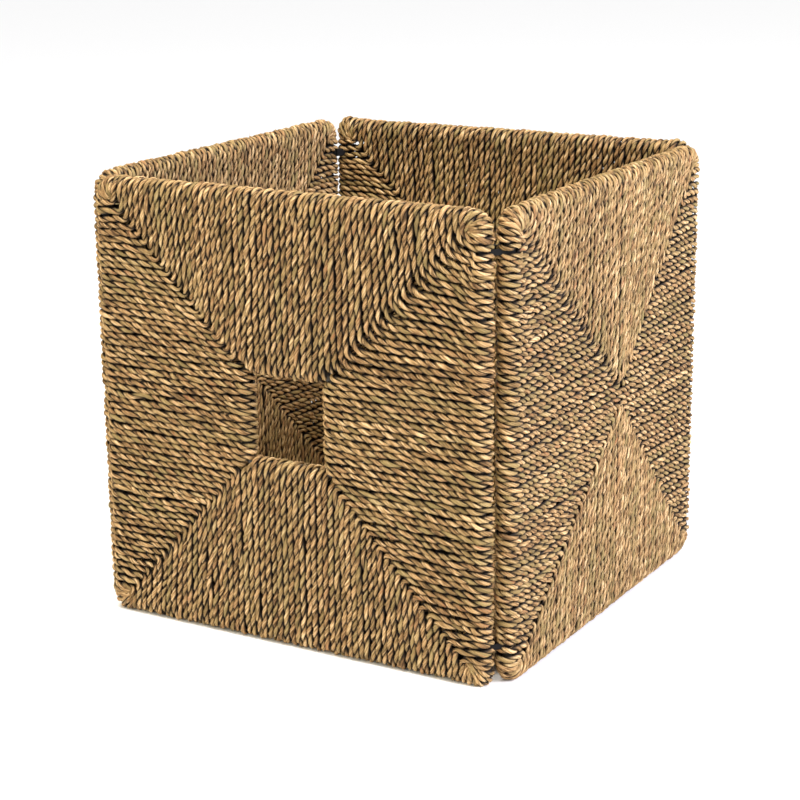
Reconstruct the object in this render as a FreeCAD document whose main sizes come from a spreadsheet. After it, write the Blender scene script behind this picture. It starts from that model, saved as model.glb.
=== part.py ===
import FreeCAD, Part

# Seagrass storage basket: four woven walls and a woven base, each wound on a bent rod frame
# and tied to its neighbours with cable ties. The front wall has a hand hole.
#
# Frame: +Z up, the front (with the hand hole) faces -Y, +X to its right. The origin is on the
# floor, under the middle of the basket.
#
# Every panel is drawn lying in the XZ plane, centred on X, with its outer face towards -Y.
# Its windings and rods are then turned and moved to their place by their own Placement.

import math
import os

import Sketcher
from FreeCAD import Placement, Rotation, Vector

doc = FreeCAD.newDocument("SeagrassBasket")

# ---------------------------------------------------------------- driving dimensions (mm)

DRIVING_SIZES = {
    "basket_side": 314,
    "basket_height": 300,
    "panel_thickness": 16,
    "corner_gap": 1,
    "foot_flat": 0.4,
    "rod_diameter": 6,
    "rod_play": 0.1,
    "frame_bend": 8,
    "hole_width": 52,
    "hole_height": 54,
    "hole_lift": 2.5,
    "hole_bend": 5,
    "base_gap": 6,
    "base_lift": 0.5,
    "tie_width": 3.6,
    "tie_thickness": 1.2,
    "tie_play": 0.2,
    "tie_level": 26,
    "head_length": 5.2,
    "head_depth": 3.6,
    "head_height": 5.4,
    "head_round": 0.5,
    "tail_length": 1.6,
    "base_tie_spread": 80,
    "base_tie_slack": 0.8,
    "notch_play": 0.6,
}

sheet = doc.addObject("Spreadsheet::Sheet", "Sizes")
for row, (alias, number) in enumerate(DRIVING_SIZES.items(), start=1):
    sheet.set("A%d" % row, alias)
    sheet.set("B%d" % row, str(number))
    sheet.setAlias("B%d" % row, alias)
workings = doc.addObject("Spreadsheet::Sheet", "Workings")
doc.recompute()

# A round end or edge that is a hair short of a full half circle keeps a narrow flat, because
# the modeller can't round two edges right up to each other.
END_SHARE = 0.49
EDGE_SHARE = 0.985

# Sizes that follow from the driving ones, as expressions on the sheet.
EDGE_RADIUS = "(Sizes.panel_thickness / 2)"
# Two edges of radius EDGE_RADIUS lie side by side at 45 degrees in each upright corner, so
# each wall stops this far short of the corner of the basket's square plan.
SETBACK = "((Sizes.panel_thickness + Sizes.corner_gap) / sqrt(2))"
WALL_WIDTH = "(Sizes.basket_side - 2 * %s)" % SETBACK
WALL_OFFSET = "(Sizes.basket_side / 2 - %s)" % EDGE_RADIUS
BASE_SIDE = "(Sizes.basket_side - 2 * Sizes.panel_thickness - 2 * Sizes.base_gap)"
BASE_LEVEL = "(Sizes.base_lift + %s)" % EDGE_RADIUS
ROD_RADIUS = "(Sizes.rod_diameter / 2)"
OUTER_BEND = "(Sizes.frame_bend + %s)" % EDGE_RADIUS
# The hand hole sits a little above the wall's middle.
HOLE_LOW = "((Sizes.basket_height - Sizes.hole_height) / 2 + Sizes.hole_lift)"


def worked_out(expression):
    """The number that an expression on the sheet gives."""
    workings.set("A1", "=" + expression)
    workings.recompute()
    return float(workings.get("A1"))


# ---------------------------------------------------------------- sketches and bodies


def new_body(name):
    return doc.addObject("PartDesign::Body", name)


def new_sketch(body, name, plane_role):
    """A sketch on one of the body's own origin planes."""
    sketch = body.newObject("Sketcher::SketchObject", name)
    plane = [f for f in body.Origin.OriginFeatures if f.Role == plane_role][0]
    sketch.AttachmentSupport = [(plane, "")]
    sketch.MapMode = "FlatFace"
    return sketch


def bind(sketch, index, name, expression):
    """Name a constraint and tie it to the sheet."""
    sketch.renameConstraint(index, name)
    sketch.setExpression("Constraints." + name, expression)


def rounded_rectangle(sketch, prefix, width, height, low, corner):
    """A rectangle with round corners, centred on the upright axis, its lower side at low.

    The lower side is split in the middle, so that a pipe's section can start there."""
    w, h, l, r = [worked_out(e) for e in (width, height, low, corner)]
    right = w / 2
    top = l + h
    up = Vector(0, 0, 1)

    def arc(cx, cy, start_degrees):
        start = math.radians(start_degrees)
        return Part.ArcOfCircle(Part.Circle(Vector(cx, cy, 0), up, r), start, start + math.pi / 2)

    def line(x0, y0, x1, y1):
        return Part.LineSegment(Vector(x0, y0, 0), Vector(x1, y1, 0))

    first = sketch.GeometryCount
    sketch.addGeometry(
        [
            line(0, l, right - r, l),
            arc(right - r, l + r, -90),
            line(right, l + r, right, top - r),
            arc(right - r, top - r, 0),
            line(right - r, top, r - right, top),
            arc(r - right, top - r, 90),
            line(-right, top - r, -right, l + r),
            arc(r - right, l + r, 180),
            line(r - right, l, 0, l),
        ],
        False,
    )
    low_right, bend, right_side, _, top_side, _, left_side, _, low_left = range(first, first + 9)
    for step in range(8):
        sketch.addConstraint(Sketcher.Constraint("Tangent", first + step, 2, first + step + 1, 1))
    sketch.addConstraint(Sketcher.Constraint("Coincident", low_left, 2, low_right, 1))
    for side in (low_right, top_side, low_left):
        sketch.addConstraint(Sketcher.Constraint("Horizontal", side))
    for side in (right_side, left_side):
        sketch.addConstraint(Sketcher.Constraint("Vertical", side))
    for step in (2, 4, 6):
        sketch.addConstraint(Sketcher.Constraint("Equal", bend, bend + step))
    sketch.addConstraint(Sketcher.Constraint("PointOnObject", low_right, 1, -2))
    half = sketch.addConstraint(Sketcher.Constraint("DistanceX", -1, 1, right_side, 1, right))
    whole = sketch.addConstraint(Sketcher.Constraint("DistanceX", left_side, 1, right_side, 1, w))
    rise = sketch.addConstraint(Sketcher.Constraint("DistanceY", -1, 1, low_right, 1, l))
    tall = sketch.addConstraint(Sketcher.Constraint("DistanceY", low_right, 1, top_side, 1, h))
    bent = sketch.addConstraint(Sketcher.Constraint("Radius", bend, r))
    bind(sketch, half, prefix + "_half_width", width + " / 2")
    bind(sketch, whole, prefix + "_width", width)
    bind(sketch, rise, prefix + "_low", low)
    bind(sketch, tall, prefix + "_height", height)
    bind(sketch, bent, prefix + "_corner", corner)


def polygon(sketch, corners):
    """A closed polygon; each corner is a pair of expressions, and "0" is on an axis."""
    points = [Vector(*[0 if e == "0" else worked_out(e) for e in pair], 0) for pair in corners]
    count = len(points)
    for i in range(count):
        sketch.addGeometry(Part.LineSegment(points[i], points[(i + 1) % count]), False)
    for i in range(count):
        sketch.addConstraint(Sketcher.Constraint("Coincident", i, 2, (i + 1) % count, 1))
    for i, (across, rise) in enumerate(corners):
        if across == "0":
            sketch.addConstraint(Sketcher.Constraint("PointOnObject", i, 1, -2))
        else:
            made = sketch.addConstraint(
                Sketcher.Constraint("DistanceX", -1, 1, i, 1, points[i].x)
            )
            bind(sketch, made, "across_%d" % i, across)
        if rise == "0":
            sketch.addConstraint(Sketcher.Constraint("PointOnObject", i, 1, -1))
        else:
            made = sketch.addConstraint(
                Sketcher.Constraint("DistanceY", -1, 1, i, 1, points[i].y)
            )
            bind(sketch, made, "rise_%d" % i, rise)


def pad(body, name, sketch, length):
    """A pad of the sketch, to both sides alike."""
    made = body.newObject("PartDesign::Pad", name)
    made.Profile = sketch
    made.SideType = "Symmetric"
    made.setExpression("Length", length)
    doc.recompute()
    return made


def round_edges(body, name, feature, radius, chosen):
    """A fillet on the edges of a feature that the test picks."""
    names = ["Edge%d" % (i + 1) for i, e in enumerate(feature.Shape.Edges) if chosen(e)]
    made = body.newObject("PartDesign::Fillet", name)
    made.Base = (feature, names)
    made.setExpression("Radius", radius)
    doc.recompute()
    return made


def pipe_round_frame(body, kind, name, width, height, low, bend, radius):
    """A round section swept along a rounded rectangle: a rod frame, or the channel for it."""
    path = new_sketch(body, name + "_path", "XZ_Plane")
    rounded_rectangle(path, "path", width, height, low, bend)
    section = new_sketch(body, name + "_section", "YZ_Plane")
    centre = Vector(0, worked_out(low), 0)
    section.addGeometry(Part.Circle(centre, Vector(0, 0, 1), worked_out(radius)), False)
    section.addConstraint(Sketcher.Constraint("PointOnObject", 0, 3, -2))
    rise = section.addConstraint(Sketcher.Constraint("DistanceY", -1, 1, 0, 3, centre.y))
    size = section.addConstraint(Sketcher.Constraint("Radius", 0, worked_out(radius)))
    bind(section, rise, "section_low", low)
    bind(section, size, "section_radius", radius)
    doc.recompute()
    made = body.newObject(kind, name)
    made.Profile = section
    made.Spine = path
    doc.recompute()
    return made


# ---------------------------------------------------------------- places

def place(piece, across="0", along="0", rise="0", turn=Rotation()):
    """Put a piece in its place: turned first, then moved by three expressions."""
    piece.Placement = Placement(Vector(), turn)
    for letter, expression in (("x", across), ("y", along), ("z", rise)):
        if expression != "0":
            piece.setExpression(".Placement.Base." + letter, expression)


UP = Vector(0, 0, 1)
ACROSS = Vector(1, 0, 0)

# wall: (turn about the upright axis, x, y) from the panel as drawn to its place
WALLS = {
    "front": (0, "0", "-" + WALL_OFFSET),
    "right": (90, WALL_OFFSET, "0"),
    "back": (180, "0", WALL_OFFSET),
    "left": (270, "-" + WALL_OFFSET, "0"),
}


def place_on_wall(piece, wall):
    turn, across, along = WALLS[wall]
    place(piece, across, along, turn=Rotation(UP, turn))


def place_on_base(piece):
    """The base is the drawn panel laid flat, its lower rail to the front."""
    place(piece, "0", "-%s / 2" % BASE_SIDE, BASE_LEVEL, Rotation(ACROSS, -90))


# ---------------------------------------------------------------- rod frames

subparts = []


def subpart(piece, node):
    piece.Label = node
    subparts.append(piece)
    return piece


# frame: (width, height, lowest point) of the wound panel as drawn
WALL_PANEL = (WALL_WIDTH, "(Sizes.basket_height + Sizes.foot_flat)", "-Sizes.foot_flat")
BASE_PANEL = (BASE_SIDE, BASE_SIDE, "0")


def rod_line(panel):
    """The rectangle that the rod's centre line follows, half a panel's thickness inside it."""
    width, height, low = panel
    return (
        "(%s - 2 * %s)" % (width, EDGE_RADIUS),
        "(%s - 2 * %s)" % (height, EDGE_RADIUS),
        "(%s + %s)" % (low, EDGE_RADIUS),
    )


# The hand hole's rod stands as far outside the hole as the panel's own rod is inside its edge.
HOLE_ROD_LINE = (
    "(Sizes.hole_width + Sizes.panel_thickness)",
    "(Sizes.hole_height + Sizes.panel_thickness)",
    "(%s - %s)" % (HOLE_LOW, EDGE_RADIUS),
)
HOLE_ROD_BEND = "(Sizes.hole_bend + %s)" % EDGE_RADIUS


def rod_frame(node, line, bend):
    body = new_body(node)
    pipe_round_frame(body, "PartDesign::AdditivePipe", node + "_rod", *line, bend, ROD_RADIUS)
    return subpart(body, node)


for wall in WALLS:
    place_on_wall(rod_frame(wall + "_rod_frame", rod_line(WALL_PANEL), "Sizes.frame_bend"), wall)
place_on_base(rod_frame("base_rod_frame", rod_line(BASE_PANEL), "Sizes.frame_bend"))
place_on_wall(rod_frame("hand_hole_frame", HOLE_ROD_LINE, HOLE_ROD_BEND), "front")


# ---------------------------------------------------------------- cable ties

# Every tie is a ring round two rods, and it sits in a gap between two turns of cord. A corner
# tie holds the side rods of two walls. A base tie holds the back wall's bottom rod and the
# base's back rod, with slack, so that the base can swing up on it.
WALL_ROD_DISTANCE = "(2 * %s + Sizes.corner_gap)" % EDGE_RADIUS
BASE_ROD_DISTANCE = "(2 * %s + Sizes.base_gap)" % EDGE_RADIUS
WALL_ROD_LEVEL = "(%s - Sizes.foot_flat)" % EDGE_RADIUS
CORNER_RING = "(Sizes.rod_diameter + 2 * Sizes.tie_play)"
BASE_RING = "(Sizes.rod_diameter + 2 * Sizes.base_tie_slack)"
BASE_RING_OUTSIDE = "(%s + 2 * Sizes.tie_thickness)" % BASE_RING


def boolean(kind, name, base, tool):
    made = doc.addObject("Part::" + kind, name)
    made.Base = base
    made.Tool = tool
    return made


def together(name, pieces):
    made = doc.addObject("Part::MultiFuse", name)
    made.Shapes = pieces
    return made


def ring_block(name, distance, size, width):
    """A long round-ended block round two rods, drawn in the XZ plane round the origin."""
    body = new_body(name)
    sketch = new_sketch(body, name + "_outline", "XZ_Plane")
    length = "(%s + %s)" % (distance, size)
    end = "%s * %s" % (size, END_SHARE)
    rounded_rectangle(sketch, "ring", length, size, "-%s / 2" % size, end)
    pad(body, name + "_pad", sketch, width)
    return body


def ring(name, distance, inside, outside, width):
    outer = ring_block(name + "_outer", distance, outside, width)
    inner = ring_block(name + "_inner", distance, inside, width + " * 2")
    return boolean("Cut", name, outer, inner)


def block(name, length, width, low, high):
    """A block over the origin of the ring's drawing, from one height to another."""
    made = doc.addObject("Part::Box", name)
    made.setExpression("Length", length)
    made.setExpression("Width", width)
    made.setExpression("Height", "%s - %s" % (high, low))
    place(made, "-%s / 2" % length, "-%s / 2" % width, low)
    return made


def rounded_head(name, inside):
    """The ratchet block of a tie, which stands on the middle of one long side of its ring."""
    body = new_body(name)
    sketch = new_sketch(body, name + "_outline", "XZ_Plane")
    half = "(Sizes.head_length / 2)"
    low = "(%s / 2)" % inside
    high = "(%s / 2 + Sizes.head_depth)" % inside
    polygon(sketch, [("-" + half, low), (half, low), (half, high), ("-" + half, high)])
    solid = pad(body, name + "_pad", sketch, "Sizes.head_height")
    round_edges(body, name + "_round", solid, "Sizes.head_round", lambda edge: True)
    return body


def cable_tie(name, distance, inside):
    """Strap, head and the cut end of the strap, which sticks out of the head on both sides."""
    strap_top = "(%s / 2 + Sizes.tie_thickness)" % inside
    tail_top = "(%s + Sizes.tie_thickness)" % strap_top
    strap = ring(
        name + "_strap", distance, inside, "(%s + 2 * Sizes.tie_thickness)" % inside, "Sizes.tie_width"
    )
    tail_length = "(Sizes.head_length + 2 * Sizes.tail_length)"
    tail = block(name + "_tail", tail_length, "Sizes.tie_width", strap_top, tail_top)
    return together(name, [strap, rounded_head(name + "_head", inside), tail])


# The slot that a corner tie takes up in the cord, with play all round.
SLOT_WIDTH = "(Sizes.tie_width + 2 * Sizes.tie_play)"
ring_slot = ring(
    "ring_slot",
    WALL_ROD_DISTANCE,
    "(%s - 2 * Sizes.tie_play)" % CORNER_RING,
    "(%s + 2 * Sizes.tie_thickness + 2 * Sizes.tie_play)" % CORNER_RING,
    SLOT_WIDTH,
)
head_pocket = block(
    "head_pocket",
    "(Sizes.head_length + 2 * Sizes.tail_length + 2 * Sizes.tie_play)",
    "(Sizes.head_height + 2 * Sizes.tie_play)",
    "(%s / 2)" % CORNER_RING,
    "Sizes.panel_thickness",
)

# From the corner of the basket's square plan to the middle of a corner tie, along each wall.
TIE_INSET = "((%s + Sizes.panel_thickness) / 2)" % SETBACK
TIE_OFFSET = "(Sizes.basket_side / 2 - %s)" % TIE_INSET


def lying(turn):
    """Lays a ring flat, its long side across a corner and its head inside the basket."""
    return Rotation(UP, turn + 45) * Rotation(ACROSS, -90)


# corner: (turn, x sign, y sign)
CORNERS = {
    "front_right": (0, "", "-"),
    "back_right": (90, "", ""),
    "back_left": (180, "-", ""),
    "front_left": (270, "-", "-"),
}
TIE_LEVELS = {
    "lower": "Sizes.tie_level",
    "upper": "(Sizes.basket_height - Sizes.tie_level)",
}
for corner, (turn, x_sign, y_sign) in CORNERS.items():
    for level, rise in TIE_LEVELS.items():
        node = "corner_tie_%s_%s" % (corner, level)
        tie = cable_tie(node, WALL_ROD_DISTANCE, CORNER_RING)
        place(tie, x_sign + TIE_OFFSET, y_sign + TIE_OFFSET, rise, lying(turn))
        subpart(tie, node)

for side, sign in (("left", "-"), ("right", "")):
    node = "base_tie_" + side
    tie = cable_tie(node, BASE_ROD_DISTANCE, BASE_RING)
    place(
        tie,
        sign + "Sizes.base_tie_spread",
        "(%s - %s / 2)" % (WALL_OFFSET, BASE_ROD_DISTANCE),
        "((%s + %s) / 2)" % (WALL_ROD_LEVEL, BASE_LEVEL),
        Rotation(UP, 90),
    )
    subpart(tie, node)


# ---------------------------------------------------------------- wound panels

# Where two fields of winding meet, their seams run in at 45 degrees from the panel's corners,
# because each turn of cord takes up the same width on both rails.


def at_panel_face(edge):
    """True for an edge in one of the panel's two faces."""
    half = worked_out(EDGE_RADIUS)
    return all(abs(abs(v.Point.y) - half) < 1e-4 for v in edge.Vertexes)


def wound_blank(name, panel, with_hole=False):
    """A whole panel of winding: a plate with round edges, hollow where its rods run."""
    body = new_body(name)
    outline = new_sketch(body, name + "_outline", "XZ_Plane")
    rounded_rectangle(outline, "outline", *panel, OUTER_BEND)
    if with_hole:
        hole = ("Sizes.hole_width", "Sizes.hole_height", HOLE_LOW)
        rounded_rectangle(outline, "hole", *hole, "Sizes.hole_bend")
    plate = pad(body, name + "_plate", outline, "Sizes.panel_thickness")
    full_round = "(%s * %s)" % (EDGE_RADIUS, EDGE_SHARE)
    round_edges(body, name + "_edges", plate, full_round, at_panel_face)
    channel = "(%s + Sizes.rod_play)" % ROD_RADIUS
    kind = "PartDesign::SubtractivePipe"
    pipe_round_frame(body, kind, name + "_channel", *rod_line(panel), "Sizes.frame_bend", channel)
    if with_hole:
        pipe_round_frame(body, kind, name + "_hole_channel", *HOLE_ROD_LINE, HOLE_ROD_BEND, channel)
    return body


def slots_for_ties():
    """The four slots that the corner ties take up in a wall, as one tool."""
    slots = []
    for side, turn, sign in (("right", 0, ""), ("left", 270, "-")):
        for level, rise in TIE_LEVELS.items():
            slot = together("slot_%s_%s" % (side, level), [ring_slot, head_pocket])
            inwards = "(%s - %s)" % (TIE_INSET, EDGE_RADIUS)
            place(slot, sign + TIE_OFFSET, inwards, rise, lying(turn))
            slots.append(slot)
    return together("tie_slots", slots)


def notches(name, low_edge, depth):
    """Two notches across a rail, where the cord is parted for the base ties."""
    pair = []
    width = "(Sizes.tie_width + 2 * Sizes.notch_play)"
    for side, sign in (("left", "-"), ("right", "")):
        notch = doc.addObject("Part::Box", "%s_%s" % (name, side))
        notch.setExpression("Length", width)
        notch.setExpression("Width", "Sizes.panel_thickness * 2")
        notch.setExpression("Height", depth)
        across = "%sSizes.base_tie_spread - %s / 2" % (sign, width)
        place(notch, across, "-Sizes.panel_thickness", low_edge)
        pair.append(notch)
    return together(name, pair)


# from the panel's edge to just past the ring and the strap's cut end beside it
NOTCH_DEPTH = "(%s + %s / 2 + Sizes.tie_thickness + 2 * Sizes.notch_play)" % (
    EDGE_RADIUS,
    BASE_RING_OUTSIDE,
)

tie_slots = slots_for_ties()
plain_wall = boolean("Cut", "plain_wall", wound_blank("wall_blank", WALL_PANEL), tie_slots)
holed_wall = boolean("Cut", "holed_wall", wound_blank("front_blank", WALL_PANEL, True), tie_slots)
wall_notches = notches("wall_notches", "-Sizes.notch_play", NOTCH_DEPTH)
notched_wall = boolean("Cut", "notched_wall", plain_wall, wall_notches)
base_edge = "(%s - %s)" % (BASE_SIDE, NOTCH_DEPTH)
base_notches = notches("base_notches", base_edge, "2 * " + NOTCH_DEPTH)
notched_base = boolean("Cut", "notched_base", wound_blank("base_blank", BASE_PANEL), base_notches)


def field_outlines(width, height, inner_across, inner_low, inner_high):
    """The outlines of a panel's four fields of winding, between its corners and its seams'
    inner ends. inner_across is "0" where the seams meet in the middle."""
    side = "(%s / 2)" % width
    inner = inner_across
    minus_inner = "0" if inner == "0" else "-" + inner
    low_end = [(inner, inner_low), (minus_inner, inner_low)]
    high_end = [(minus_inner, inner_high), (inner, inner_high)]
    if inner == "0":
        low_end = low_end[:1]
        high_end = high_end[:1]
    left_end = [(minus_inner, inner_low), (minus_inner, inner_high)]
    right_end = [(inner, inner_high), (inner, inner_low)]
    return {
        "bottom": [("-" + side, "0"), (side, "0")] + low_end,
        "top": [(side, height), ("-" + side, height)] + high_end,
        "left": [("-" + side, "0")] + left_end + [("-" + side, height)],
        "right": [(side, "0"), (side, height)] + right_end,
    }


def field_tools(name, outlines, square=False):
    """A straight-sided block for each field, thicker than the panel."""
    tools = {}
    for field, outline in outlines.items():
        if square and field in ("left", "right"):
            outline = outline[:1] + outline[1:2] + outline[3:] if field == "left" else outline[:3]
        body = new_body("%s_%s_field" % (name, field))
        sketch = new_sketch(body, "%s_%s_outline" % (name, field), "XZ_Plane")
        polygon(sketch, outline)
        pad(body, "%s_%s_block" % (name, field), sketch, "Sizes.panel_thickness * 2")
        tools[field] = body
    return tools


WALL_SEAM_END = "(%s / 2)" % WALL_WIDTH
wall_fields = field_tools(
    "wall",
    field_outlines(
        WALL_WIDTH,
        "Sizes.basket_height",
        "0",
        WALL_SEAM_END,
        "(Sizes.basket_height - %s)" % WALL_SEAM_END,
    ),
)
front_fields = field_tools(
    "front",
    field_outlines(
        WALL_WIDTH,
        "Sizes.basket_height",
        "(Sizes.hole_width / 2)",
        HOLE_LOW,
        "(%s + Sizes.hole_height)" % HOLE_LOW,
    ),
)
BASE_MIDDLE = "(%s / 2)" % BASE_SIDE
base_fields = field_tools(
    "base",
    field_outlines(BASE_SIDE, BASE_SIDE, "0", BASE_MIDDLE, BASE_MIDDLE),
    square=True,
)

# panel: (whole winding, field blocks, name of each field on the basket)
PANELS = {
    "front": (holed_wall, front_fields, {"left": "left", "right": "right"}),
    "right": (plain_wall, wall_fields, {"left": "front", "right": "back"}),
    "back": (notched_wall, wall_fields, {"left": "right", "right": "left"}),
    "left": (plain_wall, wall_fields, {"left": "back", "right": "front"}),
    "base": (notched_base, base_fields, {"bottom": "front", "top": "back"}),
}
for panel, (winding, fields, names) in PANELS.items():
    for field, tool in fields.items():
        node = "%s_%s_winding" % (panel, names.get(field, field))
        wound = boolean("Common", node, winding, tool)
        if panel == "base":
            place_on_base(wound)
        else:
            place_on_wall(wound, panel)
        subpart(wound, node)


# ---------------------------------------------------------------- checks and export

doc.recompute()
doc.removeObject(workings.Name)

failed = [o.Name for o in doc.Objects if "Invalid" in o.State or "Error" in o.State]
if failed:
    raise RuntimeError("these objects failed to recompute: %s" % ", ".join(failed))
for piece in subparts:
    if piece.Shape.isNull() or not piece.Shape.isValid() or piece.Shape.Volume <= 0:
        raise RuntimeError("%s has no valid solid" % piece.Label)

os.makedirs("parts", exist_ok=True)
for piece in subparts:
    piece.Shape.exportStep(os.path.join("parts", piece.Label + ".step"))
    solids = len(piece.Shape.Solids)
    print("%-32s %d solid, %.1f cm3" % (piece.Label, solids, piece.Shape.Volume / 1000))
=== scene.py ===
# %% [markdown]
# # A seagrass storage basket
# The real basket is five flat panels. Each one is a steel rod bent to a rectangle, wound with twisted
# seagrass cord until no rod shows, and black cable ties hold the panels together at the corners.
# The CAD model fixes where every rod, tie and panel is. In this lesson the plain CAD windings are
# exchanged for real ones, cord by cord, and every surface gets its finish.

import bpy
import math
import numpy as np
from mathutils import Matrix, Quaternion, Vector


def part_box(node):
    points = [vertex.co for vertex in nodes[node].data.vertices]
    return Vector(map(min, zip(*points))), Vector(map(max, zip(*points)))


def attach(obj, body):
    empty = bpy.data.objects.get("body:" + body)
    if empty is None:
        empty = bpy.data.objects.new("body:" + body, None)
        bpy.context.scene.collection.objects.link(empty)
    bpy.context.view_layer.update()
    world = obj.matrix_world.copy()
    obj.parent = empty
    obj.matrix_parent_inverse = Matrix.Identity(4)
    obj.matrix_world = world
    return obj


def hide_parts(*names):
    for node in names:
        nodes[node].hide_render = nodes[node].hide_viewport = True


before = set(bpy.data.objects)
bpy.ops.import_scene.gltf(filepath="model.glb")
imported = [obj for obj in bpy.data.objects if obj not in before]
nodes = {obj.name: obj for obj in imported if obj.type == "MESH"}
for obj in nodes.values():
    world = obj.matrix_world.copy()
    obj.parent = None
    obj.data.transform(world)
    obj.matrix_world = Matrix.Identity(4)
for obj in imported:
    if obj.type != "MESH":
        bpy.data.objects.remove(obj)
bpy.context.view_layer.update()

# %% [markdown]
# ## Sizes
# All sizes come from the CAD nodes, so that the looks stay on the frame. The rod frames give where each
# rod's centre line runs. The windings give how thick a panel is. Working in millimetres keeps
# the numbers readable, and one constant turns them into Blender's metres at the end.

# %% Read the sizes from the CAD nodes
MM = 0.001
WALLS = ["front", "right", "back", "left"]


def node_box(name):
    low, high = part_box(name)
    return np.array(low) / MM, np.array(high) / MM


front_low, front_high = node_box("front_top_winding")
rod_low, rod_high = node_box("front_rod_frame")
PANEL_THICKNESS = front_high[1] - front_low[1]
HALF_THICKNESS = PANEL_THICKNESS / 2
ROD_RADIUS = (rod_high[1] - rod_low[1]) / 2
WALL_MIDDLE = -(front_high[1] + front_low[1]) / 2
WALL_HALF_WIDTH = rod_high[0] - ROD_RADIUS + HALF_THICKNESS
WALL_LOW_ROD = rod_low[2] + ROD_RADIUS
WALL_HIGH_ROD = rod_high[2] - ROD_RADIUS
base_low, base_high = node_box("base_rod_frame")
BASE_HALF_WIDTH = base_high[0] - ROD_RADIUS + HALF_THICKNESS
BASE_LEVEL = (base_high[2] + base_low[2]) / 2
hole_low, hole_high = node_box("hand_hole_frame")
HOLE_ROD_X = hole_high[0] - ROD_RADIUS
HOLE_ROD_LOW = hole_low[2] + ROD_RADIUS
HOLE_ROD_HIGH = hole_high[2] - ROD_RADIUS
tie_low, tie_high = node_box("corner_tie_front_right_lower")
TIE_FROM_FLOOR = (tie_low[2] + tie_high[2]) / 2
top_tie_low, top_tie_high = node_box("corner_tie_front_right_upper")
TIE_FROM_TOP = WALL_HIGH_ROD + HALF_THICKNESS - (top_tie_low[2] + top_tie_high[2]) / 2
base_tie_low, base_tie_high = node_box("base_tie_right")
BASE_TIE_X = (base_tie_low[0] + base_tie_high[0]) / 2
print("wall half width", round(WALL_HALF_WIDTH, 2))
print("lower and upper rods at", round(WALL_LOW_ROD, 2), round(WALL_HIGH_ROD, 2))
print("upper ties", round(TIE_FROM_TOP, 2), "below the rim, base ties at x", round(BASE_TIE_X, 2))

# %% [markdown]
# ## The cord
# The cord is two bundles of dry seagrass leaves, twisted together the same way as a right-handed screw.
# It is a little under 5 mm thick and makes a full turn every 17 mm. The panel is about as thick as one
# rod and two cords, and the cord's centre line runs one cord radius inside the panel's faces. A strand
# is wider than it is thick, because the two press each other flat.

# %% The cord's own numbers
CORD_RADIUS = 2.35
STRAND_OFFSET = 1.12
STRAND_THICK = 1.23
STRAND_WIDE = 1.62
LAY = 17.0
WRAP_PITCH = 4.4
ROUND_ROD = HALF_THICKNESS - CORD_RADIUS
SIDE_SWELL = 0.35
ROD_BEND = 8.0
RING_STEP = 1.4
RING_SIDES = 6
draws = np.random.default_rng(20)
print("cord", 2 * CORD_RADIUS, "mm thick, its middle", round(ROUND_ROD, 2), "mm from the rod's middle")

# %% [markdown]
# ## A wrap as a path
# A winding could be one spiral of hundreds of turns. Here each turn is its own closed loop, because a
# closed loop has no loose end to hide, and neighbours only need to lie side by side. A loop is put
# together from straight runs and round turns. Each point also carries the direction that
# faces away from the panel, which the twist needs later.

# %% Runs and turns
FINE = 0.5


def run(start, end, outward):
    start, end = np.array(start, float), np.array(end, float)
    count = max(2, int(np.linalg.norm(end - start) / FINE))
    share = np.arange(count)[:, None] / count
    return start + (end - start) * share, np.tile(np.array(outward, float), (count, 1))


def turn(centre, first, second, radius, angle=math.pi, reach=0.0, swell=0.0):
    """A turn from direction `first` through direction `second`, facing away from its own centre.

    `swell` makes it longer towards `second`, and `reach` away from it."""
    count = max(4, int(radius * angle / FINE))
    a = (np.arange(count) / count * angle)[:, None]
    facing = np.cos(a) * np.array(first, float) + np.sin(a) * np.array(second, float)
    longer = np.where(np.sin(a) < 0, reach, swell) * np.sin(a) * np.array(second, float)
    return np.array(centre, float) + radius * facing + longer, facing


def flat_turn(centre, first, second, outward, angle=math.pi / 2):
    """A turn that stays in the panel's own face. `first` and `second` hold its two half axes."""
    first, second = np.array(first, float), np.array(second, float)
    count = max(4, int(max(np.linalg.norm(first), np.linalg.norm(second)) * angle / FINE))
    a = (np.arange(count) / count * angle)[:, None]
    points = np.array(centre, float) + np.cos(a) * first + np.sin(a) * second
    return points, np.tile(np.array(outward, float), (count, 1))


def joined(parts):
    return np.vstack([p for p, _ in parts]), np.vstack([n for _, n in parts])


OUT, IN = (0, -1, 0), (0, 1, 0)
print("a run of 30 mm has", len(run((0, 0, 0), (30, 0, 0), OUT)[0]), "points")

# %% [markdown]
# ## The bent wrap
# The pattern of a panel comes from one kind of wrap. It goes over the top or bottom rod, runs down the
# face, bends by 90 degrees on the panel's diagonal, and goes out over the side rod. Then it does the same
# on the other face. It is drawn here in a corner's own measures: x is the distance in from the panel's
# side edge and z the distance in from its top or bottom edge, so that four mirrored corners share one
# function. Where a cable tie passes, the wraps beside it are pushed apart at the rod, stay parted for a
# few millimetres and then close again.

# %% Bent wraps
TIGHTEST, SLACKEST = -0.1, 0.45
CLOSE_AGAIN, STAY_PARTED = 21.0, 0.35


def cord_height():
    """How far the cord's centre line runs from a rod's. No two wraps are pulled equally tight."""
    return ROUND_ROD + draws.uniform(TIGHTEST, SLACKEST)


def runs(corners, depth, outward):
    return [
        run((ax, depth, az), (bx, depth, bz), outward) for (ax, az), (bx, bz) in zip(corners, corners[1:])
    ]


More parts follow.
